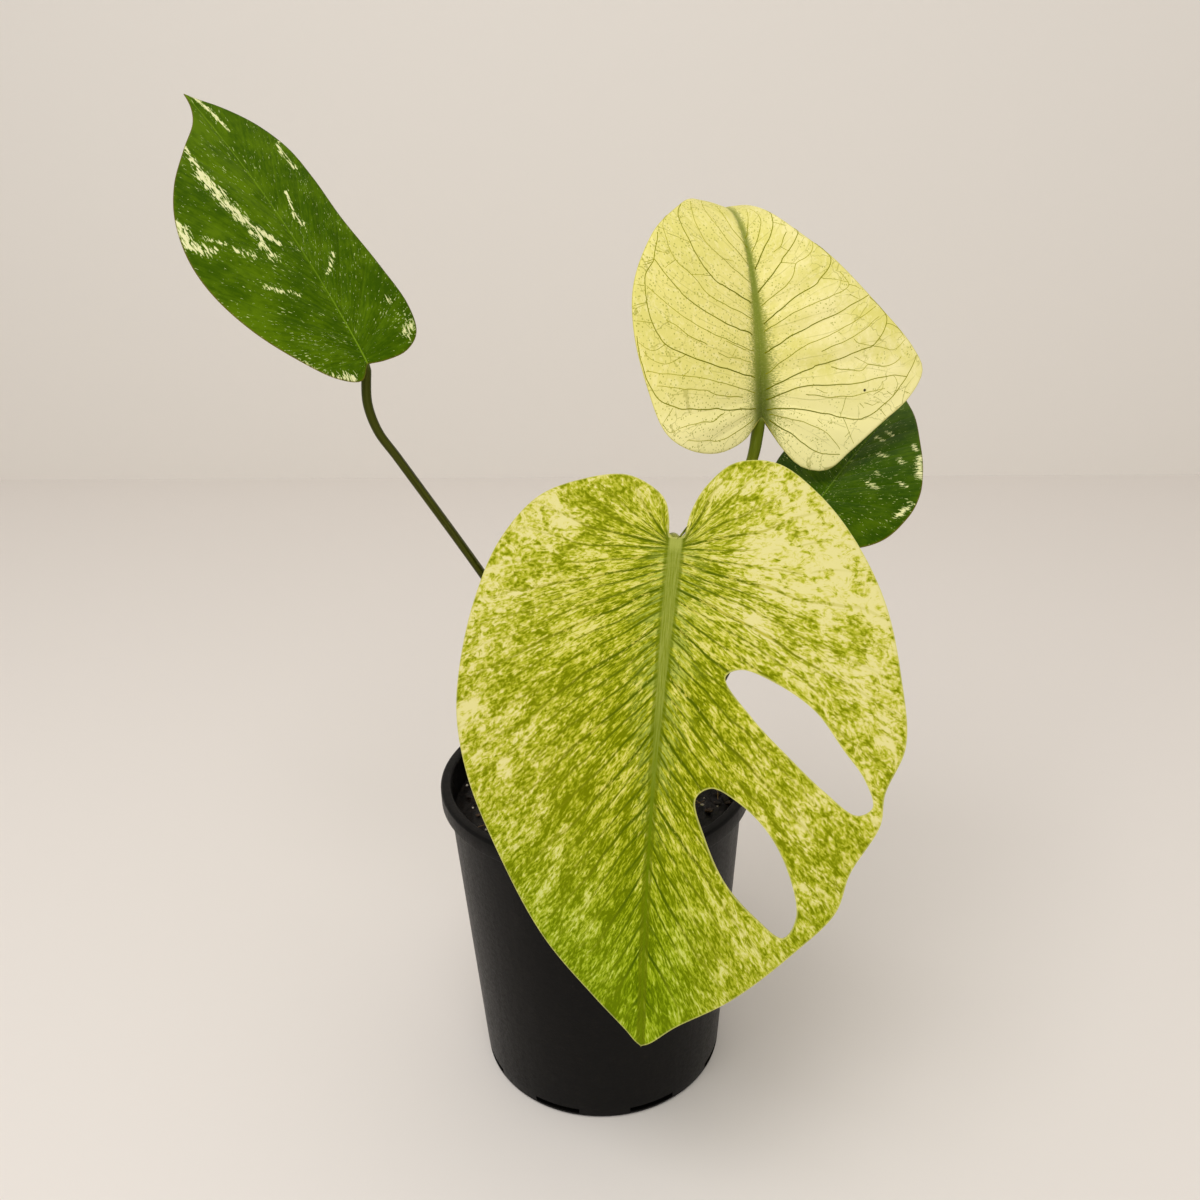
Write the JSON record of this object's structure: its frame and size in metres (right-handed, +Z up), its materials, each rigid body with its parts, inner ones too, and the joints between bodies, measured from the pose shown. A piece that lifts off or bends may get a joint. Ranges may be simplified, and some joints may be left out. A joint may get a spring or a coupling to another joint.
{
  "type": "potted white monster monstera",
  "caption": "Young variegated monstera with heart-shaped cream and green leaves, the largest pierced by long holes, on slender stalks in a round black nursery pot of bark soil.",
  "frame": {"origin": "centre of the pot's base, on the surface that the pot stands on", "axes": "+Z up along the pot's axis, -Y towards the front, where the largest leaf hangs, +X towards the side of the back and right leaves"},
  "size_m": [0.3011, 0.1943, 0.4044],
  "materials": {
    "pot_plastic": "satin",
    "soil_mix": "matte",
    "stem_tissue": "satin",
    "stalk_pale": "satin",
    "stalk_green": "satin",
    "leaf_cream": "satin",
    "leaf_green": "satin"
  },
  "bodies": {
    "root": {"pot": "pot_plastic", "soil": "soil_mix", "stem": "stem_tissue", "stalk_front": "stalk_pale", "blade_front": "leaf_cream", "stalk_left": "stalk_green", "blade_left": "leaf_green", "stalk_back": "stalk_pale", "blade_back": "leaf_cream", "stalk_right": "stalk_green", "blade_right": "leaf_green"}
  },
  "joints": []
}
